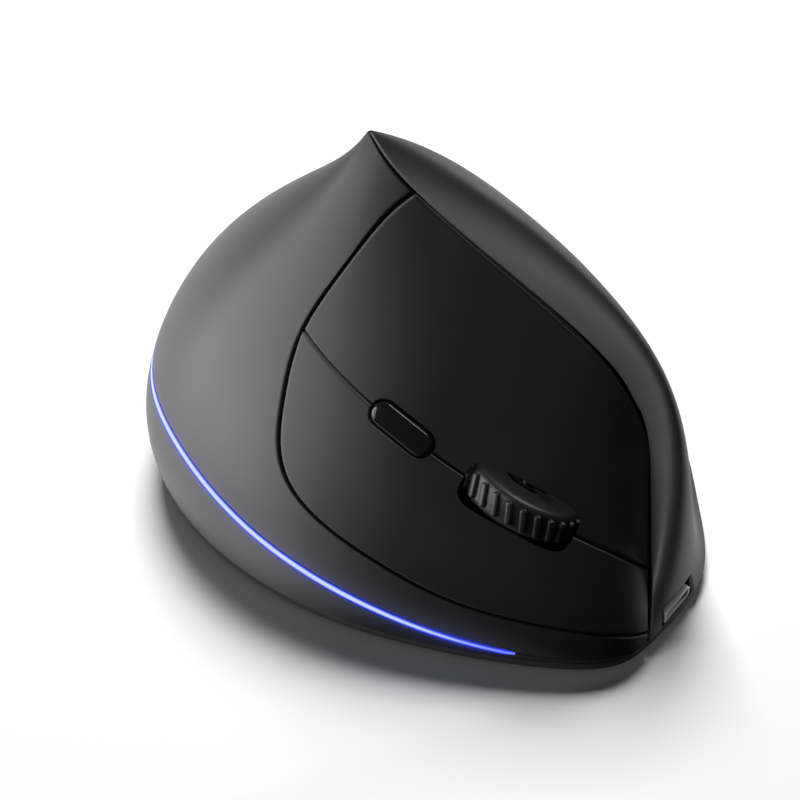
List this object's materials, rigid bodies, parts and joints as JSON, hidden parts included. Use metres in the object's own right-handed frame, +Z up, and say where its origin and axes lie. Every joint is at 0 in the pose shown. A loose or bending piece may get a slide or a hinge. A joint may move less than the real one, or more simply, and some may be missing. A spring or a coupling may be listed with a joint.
{
  "type": "vertical ergonomic mouse",
  "caption": "Right-handed vertical computer mouse with a raised crest, rocking main buttons, a ribbed scroll wheel, thumb buttons, a lit side line and a charging port.",
  "frame": {"origin": "on the desk, under the middle of the body", "axes": "+X to the finger side, +Y to the front where the wheel and the port are, +Z up"},
  "size_m": [0.0739, 0.1009, 0.0694],
  "materials": {
    "shell": "soft-touch black, fine matte",
    "button": "soft-touch black, smooth matte",
    "gloss": "polished black",
    "thumb_key": "satin black",
    "light": "frosted light guide, lit blue",
    "tyre": "ribbed black rubber",
    "hub": "smooth black",
    "frame_plastic": "moulded dark grey",
    "steel": "bright steel",
    "board": "green circuit board",
    "component": "black moulded housings",
    "white_plastic": "white",
    "lens": "clear moulded lens",
    "cell": "pouch cell foil",
    "base": "textured black",
    "skate": "low-friction pads"
  },
  "bodies": {
    "body": {"palm_shell": "shell", "thumb_shell": "shell", "skirt": "shell", "light_strip": "light", "pivot_bracket": "frame_plastic", "side_bracket": "frame_plastic", "chassis": "frame_plastic", "pivot_rod": "steel", "port_shell": "steel", "screws": "steel", "switch_board": "board", "main_board": "board", "charge_board": "board", "click_switch": "component", "left_switch": "component", "right_switch": "component", "dpi_switch": "component", "side_switches": "component", "sensor_chip": "component", "power_switch": "component", "port_tongue": "component", "leds": "white_plastic", "sensor_lens": "lens", "battery_cell": "cell", "base_plate": "base", "skates": "skate"},
    "left_press": {"left_button": "button", "left_lever": "frame_plastic"},
    "right_press": {"right_button": "button", "right_lever": "frame_plastic"},
    "left_pin": {"left_plunger": "white_plastic"},
    "right_pin": {"right_plunger": "white_plastic"},
    "sensitivity": {"dpi_button": "gloss"},
    "forward_key": {"forward_button": "thumb_key"},
    "back_key": {"back_button": "thumb_key"},
    "wheel_carrier": {"wheel_fork": "frame_plastic", "encoder": "component"},
    "wheel": {"wheel_tyre": "tyre", "wheel_hub": "hub", "wheel_axle": "steel"},
    "power_knob": {"power_slider": "white_plastic"}
  },
  "joints": [
    {"name": "left_button_press", "type": "hinge", "parent": "body", "child": "left_press", "pos_m": [0.01709, -0.0056, 0.02849], "axis": [-0.7967, 0.1559, 0.5839], "range_deg": [0, 0.8], "stiffness_Nm_per_rad": 2},
    {"name": "right_button_press", "type": "hinge", "parent": "body", "child": "right_press", "pos_m": [0.01709, -0.0056, 0.02849], "axis": [-0.7967, 0.1559, 0.5839], "range_deg": [0, 0.8], "stiffness_Nm_per_rad": 2},
    {"name": "left_switch_press", "type": "slide", "parent": "body", "child": "left_pin", "axis": [-0.5985, -0.3382, -0.7263], "range_m": [0, 0.0006]},
    {"name": "right_switch_press", "type": "slide", "parent": "body", "child": "right_pin", "axis": [-0.5985, -0.3382, -0.7263], "range_m": [0, 0.0006]},
    {"name": "sensitivity_press", "type": "slide", "parent": "body", "child": "sensitivity", "axis": [-0.5985, -0.3382, -0.7263], "range_m": [0, 0.0006], "stiffness_N_per_m": 500},
    {"name": "forward_press", "type": "slide", "parent": "body", "child": "forward_key", "axis": [0.8096, -0.396, -0.4333], "range_m": [0, 0.0006], "stiffness_N_per_m": 500},
    {"name": "back_press", "type": "slide", "parent": "body", "child": "back_key", "axis": [0.933, 0.0422, -0.3575], "range_m": [0, 0.0006], "stiffness_N_per_m": 500},
    {"name": "wheel_click", "type": "slide", "parent": "body", "child": "wheel_carrier", "axis": [-0.8534, -0.2551, -0.4546], "range_m": [0, 0.0005], "stiffness_N_per_m": 1500},
    {"name": "wheel_spin", "type": "hinge", "parent": "wheel_carrier", "child": "wheel", "pos_m": [0.01472, 0.02217, 0.02151], "axis": [-0.5145, 0.2712, 0.8135], "continuous": true},
    {"name": "power_slide", "type": "slide", "parent": "body", "child": "power_knob", "axis": [0, 1, 0], "range_m": [0, 0.0024]}
  ],
  "couplings": [
    {"joint": "left_switch_press", "follows": "left_button_press", "m_per_rad": 0.033},
    {"joint": "right_switch_press", "follows": "right_button_press", "m_per_rad": 0.0265}
  ]
}
